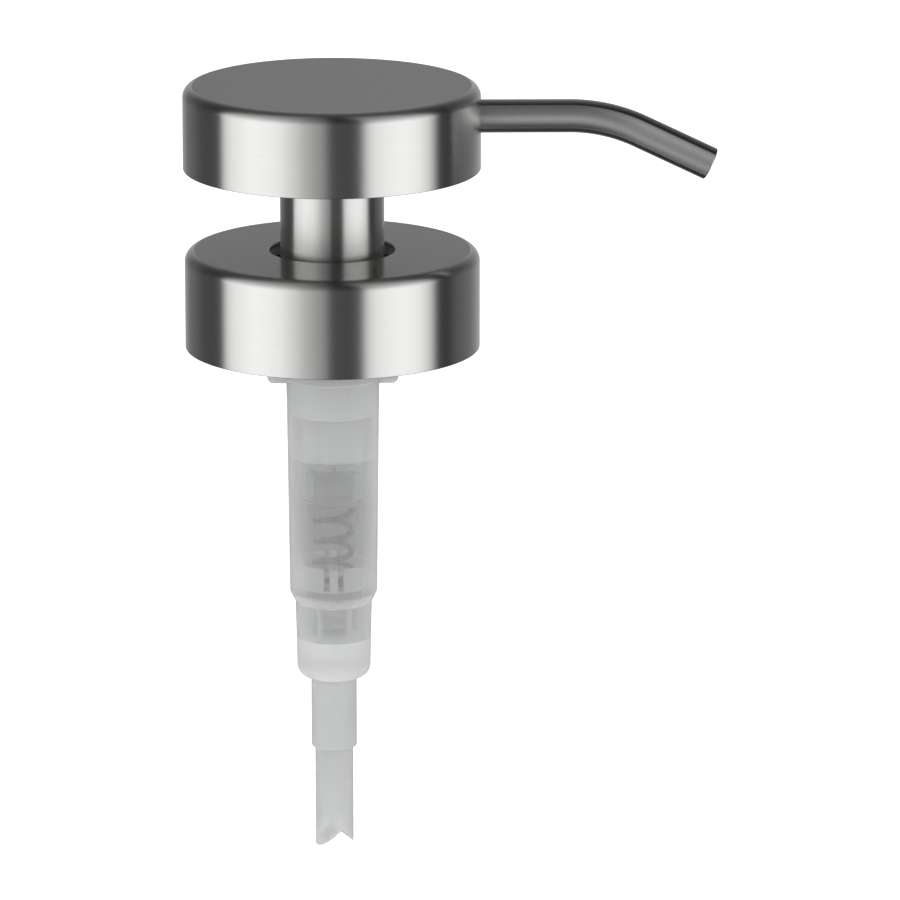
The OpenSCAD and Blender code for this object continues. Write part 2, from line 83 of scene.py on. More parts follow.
def rounded(corners, steps=7, support=0.05):
    """Closed outline of (radius, height) points from corners of (radius, height, fillet).

    Each fillet is an arc, with a support point just before and after it that keeps shading flat."""
    outline = []
    for i, (radius, height, fillet) in enumerate(corners):
        here = Vector((radius, height))
        if fillet <= 0:
            outline.append(here)
            continue
        after = corners[(i + 1) % len(corners)]
        to_before = Vector(corners[i - 1][:2]) - here
        to_after = Vector(after[:2]) - here
        room = min(to_before.length, to_after.length)
        to_before.normalize()
        to_after.normalize()
        half = to_before.angle(to_after) / 2
        cut = fillet / math.tan(half)
        centre = here + (to_before + to_after).normalized() * fillet / math.sin(half)
        start = here + to_before * cut - centre
        turn = start.angle_signed(here + to_after * cut - centre)
        if cut + support < room:
            outline.append(here + to_before * (cut + support))
        for k in range(steps + 1):
            outline.append(centre + Matrix.Rotation(-turn * k / steps, 2) @ start)
        if cut + support < room:
            outline.append(here + to_after * (cut + support))
    return outline


def straight_up(height):
    """The frame of a ring at a height on the pump's axis."""
    return Vector((0, 0, height)), Vector((1, 0, 0)), Vector((0, 1, 0))


def revolve(name, outline, frame_at=straight_up, segments=PLASTIC_SEGMENTS):
    """A closed solid turned from an outline, as an object with a UV map round and along it.

    U runs once round the axis, and V is the distance along the outline in millimetres."""
    count = len(outline)
    lengths = [0.0]
    for i in range(count):
        lengths.append(lengths[-1] + (outline[(i + 1) % count] - outline[i]).length)
    mesh = bmesh.new()
    rings = []
    for radius, height in outline:
        centre, across, along = frame_at(height)
        if radius < ON_AXIS:
            rings.append([mesh.verts.new(centre * MM)] * segments)
            continue
        ring = []
        for k in range(segments):
            angle = math.tau * k / segments
            point = centre + radius * (math.cos(angle) * across + math.sin(angle) * along)
            ring.append(mesh.verts.new(point * MM))
        rings.append(ring)
    uv = mesh.loops.layers.uv.new("Turned")
    for i in range(count):
        low, high = rings[i], rings[(i + 1) % count]
        if low[0] is low[1] and high[0] is high[1]:
            continue
        for k in range(segments):
            n = (k + 1) % segments
            corners = [(low[k], k, 0), (low[n], k + 1, 0), (high[n], k + 1, 1), (high[k], k, 1)]
            if low[0] is low[1]:
                corners.pop(1)
            elif high[0] is high[1]:
                corners.pop(2)
            face = mesh.faces.new([corner[0] for corner in corners])
            for loop, (_, step, end) in zip(face.loops, corners):
                loop[uv].uv = (step / segments, lengths[i + end])
    return finish_mesh(name, mesh)


def finish_mesh(name, mesh):
    """An object from a bmesh, shaded smooth with its real edges sharp."""
    bmesh.ops.recalc_face_normals(mesh, faces=mesh.faces)
    data = bpy.data.meshes.new(name)
    mesh.to_mesh(data)
    mesh.free()
    data.shade_smooth()
    data.set_sharp_from_angle(angle=SHARP_ANGLE)
    piece = bpy.data.objects.new(name, data)
    bpy.context.scene.collection.objects.link(piece)
    return piece


def apply_modifiers(piece):
    """Turns a piece's modifiers into its mesh, and shades it smooth with its real edges sharp."""
    bpy.context.view_layer.update()
    evaluated = piece.evaluated_get(bpy.context.evaluated_depsgraph_get())
    made = bpy.data.meshes.new_from_object(evaluated)
    piece.modifiers.clear()
    old = piece.data
    piece.data = made
    made.name = old.name + "_made"
    made.shade_smooth()
    made.set_sharp_from_angle(angle=SHARP_ANGLE)
    bpy.data.meshes.remove(old)


def combine(piece, other, operation):
    """Cuts another object out of a piece, or joins it on, and removes the other object."""
    boolean = piece.modifiers.new("combine", "BOOLEAN")
    boolean.operation = operation
    boolean.solver = "EXACT"
    boolean.object = other
    apply_modifiers(piece)
    bpy.data.objects.remove(other)


def install(piece, body, node, material):
    """The piece takes a CAD node's place on its body, with its finish."""
    piece.data.materials.clear()
    piece.data.materials.append(material)
    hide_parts(node)
    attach(piece, body)


def repaint(piece, material, low, high):
    """Faces whose centre is between two heights, in millimetres, get another finish."""
    piece.data.materials.append(material)
    for face in piece.data.polygons:
        if low < face.center.z / MM < high:
            face.material_index = len(piece.data.materials) - 1


def brush_straight(piece, height):
    """The flat top at a height gets straight brush lines along X, not lines round the axis."""
    uv = piece.data.uv_layers["Turned"].data
    for face in piece.data.polygons:
        if face.center.z / MM < height - FLAT_TOLERANCE:
            continue
        for corner in face.loop_indices:
            place = piece.data.vertices[piece.data.loops[corner].vertex_index].co
            uv[corner].uv = place.x / MM, place.y / MM


# ---- Materials ----

NOISE_SLICE = 4.0
ROUGHNESS_SPREAD = 0.03
GRAIN_SPREAD = 0.05


def shader_node(tree, kind, settings, inputs):
    """A new node with its settings, its inputs linked or set."""
    made = tree.nodes.new(kind)
    for key, value in settings.items():
        setattr(made, key, value)
    for key, value in inputs.items():
        if isinstance(value, bpy.types.NodeSocket):
            tree.links.new(value, made.inputs[key])
        else:
            made.inputs[key].default_value = value
    return made


def new_material(name):
    """A material, its node tree, its Principled shader and its object coordinates."""
    material = bpy.data.materials.new(name)
    material.use_nodes = True
    tree = material.node_tree
    shader = tree.nodes["Principled BSDF"]
    place = tree.nodes.new("ShaderNodeTexCoord").outputs["Object"]
    return material, tree, shader, place


def remap(tree, value, low, high):
    """A noise value taken to the range from low to high."""
    settings = {"clamp": True}
    return shader_node(tree, "ShaderNodeMapRange", settings, {
        "Value": value, "From Min": 0.25, "From Max": 0.75, "To Min": low, "To Max": high,
    }).outputs["Result"]


def noise(tree, place, scale, detail):
    """A noise value; scale is in cycles a metre."""
    settings = {"noise_dimensions": "4D"}
    return shader_node(tree, "ShaderNodeTexNoise", settings, {
        "Vector": place, "W": NOISE_SLICE, "Scale": scale, "Detail": detail,
    }).outputs["Fac"]


def tinted(tree, value, dark, light):
    """A colour between dark and light, by a noise value."""
    ramp = shader_node(tree, "ShaderNodeValToRGB", {}, {"Fac": value})
    ramp.color_ramp.elements[0].position = 0.3
    ramp.color_ramp.elements[0].color = (*dark, 1)
    ramp.color_ramp.elements[1].position = 0.7
    ramp.color_ramp.elements[1].color = (*light, 1)
    return ramp.outputs["Color"]


def bump(tree, value, depth, strength):
    """A bump normal; depth is in metres."""
    return shader_node(tree, "ShaderNodeBump", {}, {
        "Height": value, "Distance": depth, "Strength": strength,
    }).outputs["Normal"]


FINE_LINES = 9.0
BROAD_BANDS = 1.6
QUARTER_TURN = 0.25


def brushed_steel(name, roughness, anisotropy):
    """Stainless steel brushed round the piece: long fine lines round it, close together.

    Straight lines take their place where the UV map is a flat one."""
    material, tree, shader, place = new_material(name)
    round_and_along = shader_node(tree, "ShaderNodeUVMap", {"uv_map": "Turned"}, {}).outputs["UV"]
    along = shader_node(tree, "ShaderNodeSeparateXYZ", {}, {"Vector": round_and_along}).outputs["Y"]
    multiply = {"operation": "MULTIPLY"}
    fine = shader_node(tree, "ShaderNodeMath", multiply, {0: along, 1: FINE_LINES})
    coarse = shader_node(tree, "ShaderNodeMath", multiply, {0: along, 1: BROAD_BANDS})
    lines = shader_node(tree, "ShaderNodeTexNoise", {"noise_dimensions": "4D"}, {
        "Vector": place, "W": fine.outputs[0], "Scale": 110.0, "Detail": 2.0,
    }).outputs["Fac"]
    bands = shader_node(tree, "ShaderNodeTexNoise", {"noise_dimensions": "4D"}, {
        "Vector": place, "W": coarse.outputs[0], "Scale": 40.0, "Detail": 3.0,
    }).outputs["Fac"]
    tangent = shader_node(tree, "ShaderNodeTangent", {
        "direction_type": "UV_MAP", "uv_map": "Turned",
    }, {}).outputs["Tangent"]
    tree.links.new(tinted(tree, bands, (0.60, 0.60, 0.59), (0.66, 0.66, 0.65)),
                   shader.inputs["Base Color"])
    tree.links.new(remap(tree, lines, roughness - ROUGHNESS_SPREAD, roughness + ROUGHNESS_SPREAD),
                   shader.inputs["Roughness"])
    tree.links.new(bump(tree, lines, 0.000004, 0.35), shader.inputs["Normal"])
    tree.links.new(tangent, shader.inputs["Tangent"])
    shader.inputs["Metallic"].default_value = 1.0
    shader.inputs["Anisotropic"].default_value = anisotropy
    shader.inputs["Anisotropic Rotation"].default_value = QUARTER_TURN
    return material


FROSTED_IOR = 1.18


def frosted_plastic(name, roughness, clearness, edge_clearness, dark, light):
    """Natural polypropylene: milky, with soft flow streaks and a fine mould grain.

    It lets less through towards a piece's edges, where the view crosses more plastic."""
    material, tree, shader, place = new_material(name)
    cloud = noise(tree, place, 90.0, 2.0)
    grain = noise(tree, place, 5200.0, 1.0)
    tree.links.new(tinted(tree, cloud, dark, light), shader.inputs["Base Color"])
    tree.links.new(remap(tree, cloud, roughness - ROUGHNESS_SPREAD, roughness + ROUGHNESS_SPREAD),
                   shader.inputs["Roughness"])
    tree.links.new(bump(tree, grain, 0.00001, 0.15), shader.inputs["Normal"])
    facing = shader_node(tree, "ShaderNodeLayerWeight", {}, {"Blend": 0.5}).outputs["Facing"]
    clear = shader_node(tree, "ShaderNodeMapRange", {}, {
        "Value": facing, "From Min": 0.1, "From Max": 0.6,
        "To Min": clearness, "To Max": edge_clearness,
    }).outputs["Result"]
    tree.links.new(clear, shader.inputs["Transmission Weight"])
    shader.inputs["IOR"].default_value = FROSTED_IOR
    return material


def moulded_plastic(name, dark, light, roughness):
    """Opaque moulded plastic with a fine satin grain and slow changes of tone."""
    material, tree, shader, place = new_material(name)
    cloud = noise(tree, place, 70.0, 3.0)
    grain = noise(tree, place, 4200.0, 1.0)
    tree.links.new(tinted(tree, cloud, dark, light), shader.inputs["Base Color"])
    tree.links.new(remap(tree, grain, roughness - GRAIN_SPREAD, roughness + GRAIN_SPREAD),
                   shader.inputs["Roughness"])
    tree.links.new(bump(tree, grain, 0.00001, 0.3), shader.inputs["Normal"])
    return material


def drawn_steel(name):
    """Drawn stainless wire, and the polished ball: fine scratches on a smooth surface."""
    material, tree, shader, place = new_material(name)
    scratches = noise(tree, place, 1500.0, 4.0)
    tree.links.new(tinted(tree, scratches, (0.08, 0.08, 0.08), (0.12, 0.12, 0.12)),
                   shader.inputs["Base Color"])
    tree.links.new(remap(tree, scratches, 0.18, 0.34), shader.inputs["Roughness"])
    shader.inputs["Metallic"].default_value = 1.0
    return material


steel = brushed_steel("brushed_steel", 0.25, 0.95)
# The pump's natural plastic is clearer where it is thin, and milky where it is thick
PLASTIC_TONES = (0.93, 0.935, 0.94), (0.97, 0.975, 0.98)
thin_frosted = frosted_plastic("frosted_plastic", 0.17, 0.81, 0.60, *PLASTIC_TONES)
inner_frosted = frosted_plastic("frosted_plastic_inner", 0.12, 0.86, 0.6, *PLASTIC_TONES)
plug_frosted = frosted_plastic("frosted_plastic_plug", 0.24, 0.62, 0.58, *PLASTIC_TONES)
lower_frosted = frosted_plastic("frosted_plastic_lower", 0.17, 0.73, 0.58, *PLASTIC_TONES)
tube_frosted = frosted_plastic("frosted_plastic_tube", 0.24, 0.63, 0.57, *PLASTIC_TONES)
socket_frosted = frosted_plastic("frosted_plastic_socket", 0.20, 0.60, 0.60, *PLASTIC_TONES)
thick_frosted = frosted_plastic("frosted_plastic_thick", 0.24, 0.52, 0.50, *PLASTIC_TONES)
solid_frosted = frosted_plastic("frosted_plastic_solid", 0.30, 0.15, 0.15, *PLASTIC_TONES)
white = moulded_plastic("white_plastic", (0.78, 0.78, 0.77), (0.84, 0.84, 0.83), 0.42)
dark = moulded_plastic("dark_plastic", (0.035, 0.035, 0.035), (0.05, 0.05, 0.05), 0.42)
rubber = moulded_plastic("seal_rubber", (0.02, 0.02, 0.02), (0.04, 0.04, 0.04), 0.7)
foam = moulded_plastic("gasket_foam", (0.74, 0.74, 0.72), (0.82, 0.82, 0.80), 0.8)
wire = drawn_steel("spring_steel")

# ---- Steel pieces ----

SHEET = 0.8
SHEET_EDGE = 0.14
HEAD_EDGE = 2.0
COLLAR_EDGE = 2.0
EDGE_STEPS = 12
head_r, head_bottom, head_top = span("head_shell")
collar_r, collar_bottom, collar_top = span("collar_shell")
sleeve_r, sleeve_bottom, sleeve_top = span("sleeve")
base_r, base_bottom, base_top = span("head_base")

head_shell = revolve("head_cap", rounded([
    (0, head_top, 0), (head_r, head_top, HEAD_EDGE),
    (head_r, head_bottom, SHEET_EDGE), (head_r - SHEET, head_bottom, SHEET_EDGE),
    (head_r - SHEET, head_top - SHEET, HEAD_EDGE - SHEET), (0, head_top - SHEET, 0),
], steps=EDGE_STEPS), segments=STEEL_SEGMENTS)

# The spout's centreline: straight out of the head, one bend, and straight to the mouth
SPOUT_R = 3.05
SPOUT_BORE = 2.55
SPOUT_RISE = 9.45
SPOUT_START = 8.6
SPOUT_BEND_X = 43.11
SPOUT_BEND_R = 30.0
SPOUT_BEND = math.radians(25.5)
SPOUT_LEG = 14.21
SPOUT_GAP = 0.06
SPOUT_SEGMENTS = 96
MOUTH_EDGE = 0.18
BEND_MARGIN = 1.0
BEND_STEP = 0.5
spout_z = head_bottom + SPOUT_RISE
bend_start = SPOUT_BEND_X - SPOUT_START
leg_start = bend_start + SPOUT_BEND_R * SPOUT_BEND
spout_end = leg_start + SPOUT_LEG


def along_spout(distance):
    """The frame of a ring at a distance along the spout's centreline."""
    turned = min(max((distance - bend_start) / SPOUT_BEND_R, 0), SPOUT_BEND)
    past_bend = max(distance - leg_start, 0)
    before_bend = min(distance, bend_start)
    centre = Vector((
        SPOUT_START + before_bend + SPOUT_BEND_R * math.sin(turned) + past_bend * math.cos(turned),
        0,
        spout_z - SPOUT_BEND_R * (1 - math.cos(turned)) - past_bend * math.sin(turned),
    ))
    return centre, Vector((0, -1, 0)), Vector((math.sin(turned), 0, math.cos(turned)))


def finer(outline, start, end, step):
    """The outline with extra points wherever it runs between two heights."""
    result = []
    for i, point in enumerate(outline):
        result.append(point)
        run = outline[(i + 1) % len(outline)] - point
        if abs(run.y) < step:
            continue
        extra = []
        for k in range(int((end - start) / step) + 1):
            share = (start + k * step - point.y) / run.y
            if 0.001 < share < 0.999:
                extra.append((share, point + run * share))
        result += [found[1] for found in sorted(extra, key=lambda found: found[0])]
    return result


spout = revolve("spout", finer(rounded([
    (SPOUT_BORE, 0, 0), (SPOUT_R, 0, 0.1),
    (SPOUT_R, spout_end, MOUTH_EDGE), (SPOUT_BORE, spout_end, MOUTH_EDGE),
]), bend_start - BEND_MARGIN, leg_start + BEND_MARGIN, BEND_STEP), along_spout, SPOUT_SEGMENTS)


def along_hole(distance):
    """The frame of a ring on the spout's axis, at a distance from the pump's axis."""
    return Vector((distance, 0, spout_z)), Vector((0, 1, 0)), Vector((0, 0, 1))


hole_r = SPOUT_R + SPOUT_GAP
hole_cutter = revolve("hole_cutter", [
    Vector((0, head_r / 2)), Vector((hole_r, head_r / 2)),
    Vector((hole_r, 2 * head_r)), Vector((0, 2 * head_r)),
], along_hole, SPOUT_SEGMENTS)
combine(head_shell, hole_cutter, "DIFFERENCE")
brush_straight(head_shell, head_top)
install(head_shell, "head", "head_shell", steel)
install(spout, "head", "spout_tube", steel)

BASE_GAP = 0.05
BASE_EDGE = 0.12
BASE_RIM = 0.3
head_base = revolve("head_floor", rounded([
    (sleeve_r + BASE_GAP, base_bottom, BASE_EDGE), (base_r, base_bottom, BASE_RIM),
    (base_r, base_top, BASE_EDGE), (sleeve_r + BASE_GAP, base_top, BASE_EDGE),
]), segments=STEEL_SEGMENTS)
install(head_base, "head", "head_base", steel)

sleeve = revolve("sleeve_tube", rounded([
    (sleeve_r - SHEET, sleeve_bottom, SHEET_EDGE), (sleeve_r, sleeve_bottom, SHEET_EDGE),
    (sleeve_r, sleeve_top, SHEET_EDGE), (sleeve_r - SHEET, sleeve_top, SHEET_EDGE),
]), segments=STEEL_SEGMENTS)
install(sleeve, "head", "sleeve", steel)

COLLAR_HOLE = 11.5
HOLE_EDGE = 0.2
collar_shell = revolve("collar_cap", rounded([
    (COLLAR_HOLE, collar_top, HOLE_EDGE), (collar_r, collar_top, COLLAR_EDGE),
    (collar_r, collar_bottom, SHEET_EDGE), (collar_r - SHEET, collar_bottom, SHEET_EDGE),
    (collar_r - SHEET, collar_top - SHEET, COLLAR_EDGE - SHEET),
    (COLLAR_HOLE, collar_top - SHEET, HOLE_EDGE),
], steps=EDGE_STEPS), segments=STEEL_SEGMENTS)
brush_straight(collar_shell, collar_top)
install(collar_shell, "collar", "collar_shell", steel)

# ---- Moulded pieces of the neck ----

gasket_r, gasket_bottom, gasket_top = span("neck_gasket")
lip_r, well_bottom, lip_top = span("stem_well")
WELL_R = 11.95
WELL_BORE = 10.75
WELL_FLOOR = 1.2
WELL_HOLE = 8.85
GASKET_GAP = 1.05

gasket = revolve("neck_seal", rounded([
    (WELL_R + GASKET_GAP, gasket_bottom, 0.25), (gasket_r, gasket_bottom, 0.25),
    (gasket_r, gasket_top, 0.2), (WELL_R + GASKET_GAP, gasket_top, 0.2),
]))
install(gasket, "pump_body", "neck_gasket", foam)

stem_well = revolve("neck_well", rounded([
    (WELL_HOLE, well_bottom, 0.15), (WELL_R, well_bottom, 0.5), (WELL_R, gasket_top, 0),
    (lip_r, gasket_top, 0.15), (lip_r, lip_top, 0.3), (WELL_BORE, lip_top, 0.4),
    (WELL_BORE, well_bottom + WELL_FLOOR, 0.6), (WELL_HOLE, well_bottom + WELL_FLOOR, 0.15),
]))
install(stem_well, "pump_body", "stem_well", dark)

# ---- Pump housing and what is seen through it ----

ears_r, socket_bottom, spigot_top = span("housing")
rim_r, plug_bottom, guide_top = span("chaplet")
WELL_GAP = 0.05
FLANGE = 2.2
FLANGE_R = 9.3
SPIGOT_R = 8.8
SPIGOT_WALL = 0.75
UNDER_FLANGE_R = 8.56
BEAD_R = 9.15
BEAD_TOP = 0.4
BEAD_BOTTOM = 0.7
BEAD_FOOT = 0.95
SEAT_DEPTH = 1.5
CHAMBER_R = 7.2
WALL_TOP_R = 8.44
WALL_FOOT_R = 8.05
CHAMBER_LENGTH = 40.4
STEP_LENGTH = 2.05
STEP_FOOT_R = 7.05
BAND_TOP_R = 6.87
BAND_FOOT_R = 6.75
BAND_LENGTH = 4.1
BAND_EDGE = 2.4
VALVE_R = 5.75
CONE_FOOT = 0.9
CONE_TOP = 1.2
SOCKET_R = 4.2
SOCKET_BORE = 3.56
SOCKET_LENGTH = 13.4
TUBE_STOP = 0.4
INLET_R = 1.3
INLET_TOP = 1.45
BALL_SEAT_R = 2.6
BALL_SEAT_TOP = 2.75
CHAMBER_FLOOR = 3.7
flange_top = well_bottom - WELL_GAP
flange_bottom = flange_top - FLANGE
step_top = flange_bottom - CHAMBER_LENGTH
step_bottom = step_top - STEP_LENGTH
housing_bottom = socket_bottom + SOCKET_LENGTH
tube_stop = housing_bottom + TUBE_STOP
chamber_floor = housing_bottom + CHAMBER_FLOOR
band_top = chamber_floor + BAND_LENGTH
chaplet_seat = spigot_top - SEAT_DEPTH
milky_foot = span("piston")[2]


def wall_at(height):
    """The outline's point on the chamber's tapered wall at a height."""
    share = (plug_bottom - height) / (plug_bottom - step_top)
    return WALL_TOP_R + share * (WALL_FOOT_R - WALL_TOP_R), height, 0


housing = revolve("pump_housing", rounded([
    (SPIGOT_R, spigot_top, 0.15), (BEAD_R, spigot_top - BEAD_TOP, 0.08),
    (BEAD_R, spigot_top - BEAD_BOTTOM, 0.08), (SPIGOT_R, spigot_top - BEAD_FOOT, 0.05),
    (SPIGOT_R, flange_top, 0.1), (FLANGE_R, flange_top, 0.2), (FLANGE_R, flange_bottom, 0.4),
    (UNDER_FLANGE_R, flange_bottom, 0.2), wall_at(plug_bottom), wall_at(milky_foot),
    (WALL_FOOT_R, step_top, 0.5), (STEP_FOOT_R, step_bottom, 0.5), (BAND_TOP_R, band_top, 0),
    (BAND_FOOT_R, housing_bottom, BAND_EDGE), (SOCKET_R, housing_bottom, 0.04),
    (SOCKET_R, socket_bottom, 0.3), (SOCKET_BORE, socket_bottom, 0.12),
    (SOCKET_BORE, tube_stop, 0.1), (INLET_R, tube_stop, 0.1),
    (INLET_R, housing_bottom + INLET_TOP, 0), (BALL_SEAT_R, housing_bottom + BALL_SEAT_TOP, 0),
    (VALVE_R, chamber_floor, 0.6), (VALVE_R, step_top - CONE_FOOT, 0.3),
    (CHAMBER_R, step_top + CONE_TOP, 0.4), (CHAMBER_R, chaplet_seat, 0.1),
    (SPIGOT_R - SPIGOT_WALL, chaplet_seat, 0.1), (SPIGOT_R - SPIGOT_WALL, spigot_top, 0.1),
]))

# The flange's two ears, each a plate with a round end and soft edges
EAR_HALF = 4.0
EAR_ROOT = 7.5
EAR_DROP = 0.4
EAR_EDGE = 0.35
EAR_STEPS = 12
ear_sweep = math.asin(EAR_HALF / ears_r)
for side in (1, -1):
    outline = [
        Vector((side * EAR_ROOT, -side * EAR_HALF)), Vector((side * EAR_ROOT, side * EAR_HALF)),
    ]
    for k in range(EAR_STEPS + 1):
        angle = ear_sweep * (1 - 2 * k / EAR_STEPS)
        outline.append(side * ears_r * Vector((math.cos(angle), math.sin(angle))))
    ear_mesh = bmesh.new()
    plate = ear_mesh.faces.new([
        ear_mesh.verts.new((x * MM, y * MM, (flange_bottom - EAR_DROP) * MM)) for x, y in outline
    ])
    raised = bmesh.ops.extrude_face_region(ear_mesh, geom=[plate])["geom"]
    bmesh.ops.translate(ear_mesh, vec=(0, 0, (FLANGE + EAR_DROP) * MM),
                        verts=[item for item in raised if isinstance(item, bmesh.types.BMVert)])
    ear = finish_mesh("ear", ear_mesh)
    soft = ear.modifiers.new("soft", "BEVEL")
    soft.width = EAR_EDGE * MM
    soft.segments = 3
    soft.limit_method = "ANGLE"
    apply_modifiers(ear)
    combine(housing, ear, "UNION")

install(housing, "pump_body", "housing", thin_frosted)
repaint(housing, plug_frosted, plug_bottom, spigot_top)
repaint(housing, lower_frosted, milky_foot, plug_bottom)
repaint(housing, lower_frosted, chamber_floor, step_bottom)
repaint(housing, thick_frosted, housing_bottom - FACE_MARGIN, band_top)
repaint(housing, socket_frosted, socket_bottom - FACE_MARGIN, housing_bottom - FACE_MARGIN)

GUIDE_R = 4.06
GUIDE_WALL = 1.3
PLUG_R = 7.15
PLUG_BORE = 6.0
PLUG_TAPER = 0.3
PLUG_TAPER_LENGTH = 0.8
chaplet = revolve("pump_chaplet", rounded([
    (GUIDE_R, chaplet_seat, 0.1), (GUIDE_R, guide_top, 0.15),
    (GUIDE_R + GUIDE_WALL, guide_top, 0.3), (GUIDE_R + GUIDE_WALL, spigot_top, 0.3),
    (rim_r, spigot_top, 0.2), (rim_r, chaplet_seat, 0.1), (PLUG_R, chaplet_seat, 0.1),
    (PLUG_R, plug_bottom + PLUG_TAPER_LENGTH, 0.4), (PLUG_R - PLUG_TAPER, plug_bottom, 0.2),
    (PLUG_BORE, plug_bottom, 0.2), (PLUG_BORE, chaplet_seat, 0.2),
]))
install(chaplet, "pump_body", "chaplet", solid_frosted)

lip_outer, piston_bottom, piston_top = span("piston")
LIP_TAPER = 0.4
LIP_HEIGHT = 0.5
WAIST_DEPTH = 0.47
WAIST_START = 1.9
TOP_BORE_DEPTH = 0.8
NECK_BORE_TOP = 5.45
PISTON_TOP_BORE = 5.66
PISTON_SLIP_BORE = 6.0
PISTON_NECK_BORE = 5.02
waist_r = lip_outer - WAIST_DEPTH
slip_top = piston_top - TOP_BORE_DEPTH
slip_bottom = piston_bottom + NECK_BORE_TOP
piston = revolve("pump_piston", rounded([
    (PISTON_NECK_BORE, piston_bottom, 0.1), (lip_outer - LIP_TAPER, piston_bottom, 0.25),
    (lip_outer, piston_bottom + LIP_HEIGHT, 0.3), (waist_r, piston_bottom + WAIST_START, 0.6),
    (waist_r, piston_top - WAIST_START, 0.6), (lip_outer, piston_top - LIP_HEIGHT, 0.3),
    (lip_outer - LIP_TAPER, piston_top, 0.25), (PISTON_TOP_BORE, piston_top, 0.1),
    (PISTON_TOP_BORE, slip_top, 0.1), (PISTON_SLIP_BORE, slip_top, 0.1),
    (PISTON_SLIP_BORE, slip_bottom, 0.1), (PISTON_NECK_BORE, slip_bottom, 0.1),
]))
install(piston, "piston", "piston", inner_frosted)

# The plunger: a thick body above, a thin hollow neck below for the piston and the spring
foot_flange_r, plunger_bottom, plunger_top = span("plunger")
PLUNGER_R = 5.6
NECK_R = 4.9
CAVITY_R = 4.25
STEM_SOCKET_R = 3.06
STEM_BORE_R = 2.0
PORT_R = 0.5
PORT_SEGMENTS = 24
PORT_RISE = 0.55
DRILL_PAST = 1
NECK_LENGTH = 7.1
FOOT_FLANGE = 0.8
CAVITY_ROOF = 1.0
STEM_SOCKET = 8.1
foot_flange_top = plunger_bottom + FOOT_FLANGE
neck_top = plunger_bottom + NECK_LENGTH
cavity_top = neck_top - CAVITY_ROOF
socket_floor = plunger_top - STEM_SOCKET
port_z = neck_top + PORT_RISE
plunger = revolve("pump_plunger", rounded([
    (0, port_z - PORT_R, 0), (STEM_BORE_R, port_z - PORT_R, 0.1), (STEM_BORE_R, socket_floor, 0.1),
    (STEM_SOCKET_R, socket_floor, 0.1), (STEM_SOCKET_R, plunger_top, 0.2),
    (PLUNGER_R, plunger_top, 0.3), (PLUNGER_R, neck_top, 0.15), (NECK_R, neck_top, 0.15),
    (NECK_R, foot_flange_top, 0.1), (foot_flange_r, foot_flange_top, 0.15),
    (foot_flange_r, plunger_bottom, 0.3), (CAVITY_R, plunger_bottom, 0.15),
    (CAVITY_R, cavity_top, 0.2), (0, cavity_top, 0),
]))
drill_end = PLUNGER_R + DRILL_PAST
up = Vector((0, 0, 1))
for across in (Vector((1, 0, 0)), Vector((0, 1, 0))):
    drill = revolve("port_drill", [
        Vector((0, -drill_end)), Vector((PORT_R, -drill_end)),
        Vector((PORT_R, drill_end)), Vector((0, drill_end)),
    ], lambda run: (across * run + up * port_z, up.cross(across), up), PORT_SEGMENTS)
    combine(plunger, drill, "DIFFERENCE")
install(plunger, "plunger", "plunger", inner_frosted)
repaint(plunger, solid_frosted, neck_top - FACE_MARGIN, plunger_top + FACE_MARGIN)

# The return spring: a closed turn at each end and open turns between
SPRING_TURNS = 9
SPRING_START = math.radians(190)
SPRING_STEPS = 48
WIRE_SIDES = 14
spring_r, spring_bottom, spring_top = span("return_spring")
WIRE_R = 0.55
TIP_R = WIRE_R * 0.8
TIP_LENGTH = 0.3
CLOSED_PITCH = 2 * WIRE_R * 1.06
coil_r = spring_r - WIRE_R
open_turns = SPRING_TURNS - 2
open_pitch = (spring_top - spring_bottom - 2 * WIRE_R - 2 * CLOSED_PITCH) / open_turns


def coil_height(turn):
    """Height of the spring's centreline after some turns from its lower end."""
    opened = min(max(turn - 1, 0), open_turns)
    closed = min(turn, 1) + max(turn - 1 - open_turns, 0)
    return spring_bottom + WIRE_R + closed * CLOSED_PITCH + opened * open_pitch


def along_coil(distance):
    """The frame of a ring at some turns along the coil."""
    angle = SPRING_START + math.tau * distance
    outward = Vector((math.cos(angle), math.sin(angle), 0))
    return outward * coil_r + Vector((0, 0, coil_height(distance))), outward, Vector((0, 0, 1))


# Heights in this outline are turns along the coil; the wire narrows at its two tips
coil_steps = SPRING_TURNS * SPRING_STEPS
coil_outline = [Vector((0, 0)), Vector((TIP_R, 0))]
for i in range(coil_steps + 1):
    share = min(max(i, TIP_LENGTH), coil_steps - TIP_LENGTH)
    coil_outline.append(Vector((WIRE_R, share / SPRING_STEPS)))
coil_outline += [Vector((TIP_R, SPRING_TURNS)), Vector((0, SPRING_TURNS))]
spring = revolve("pump_spring", coil_outline, along_coil, WIRE_SIDES)
install(spring, "pump_body", "return_spring", wire)
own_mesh(spring)

# ---- CAD nodes that keep their shape and get their finish ----

for node, material in (
    ("valve_cage", solid_frosted), ("dip_tube", tube_frosted), ("inlet_ball", wire),
    ("stem", white), ("sleeve_core", white), ("head_core", white), ("collar_insert", white),
    ("stem_seal", rubber), ("spout_seal", rubber),
):
    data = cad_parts[node].data
    data.materials.clear()
    data.materials.append(material)

# ---- Floor, studio and camera ----

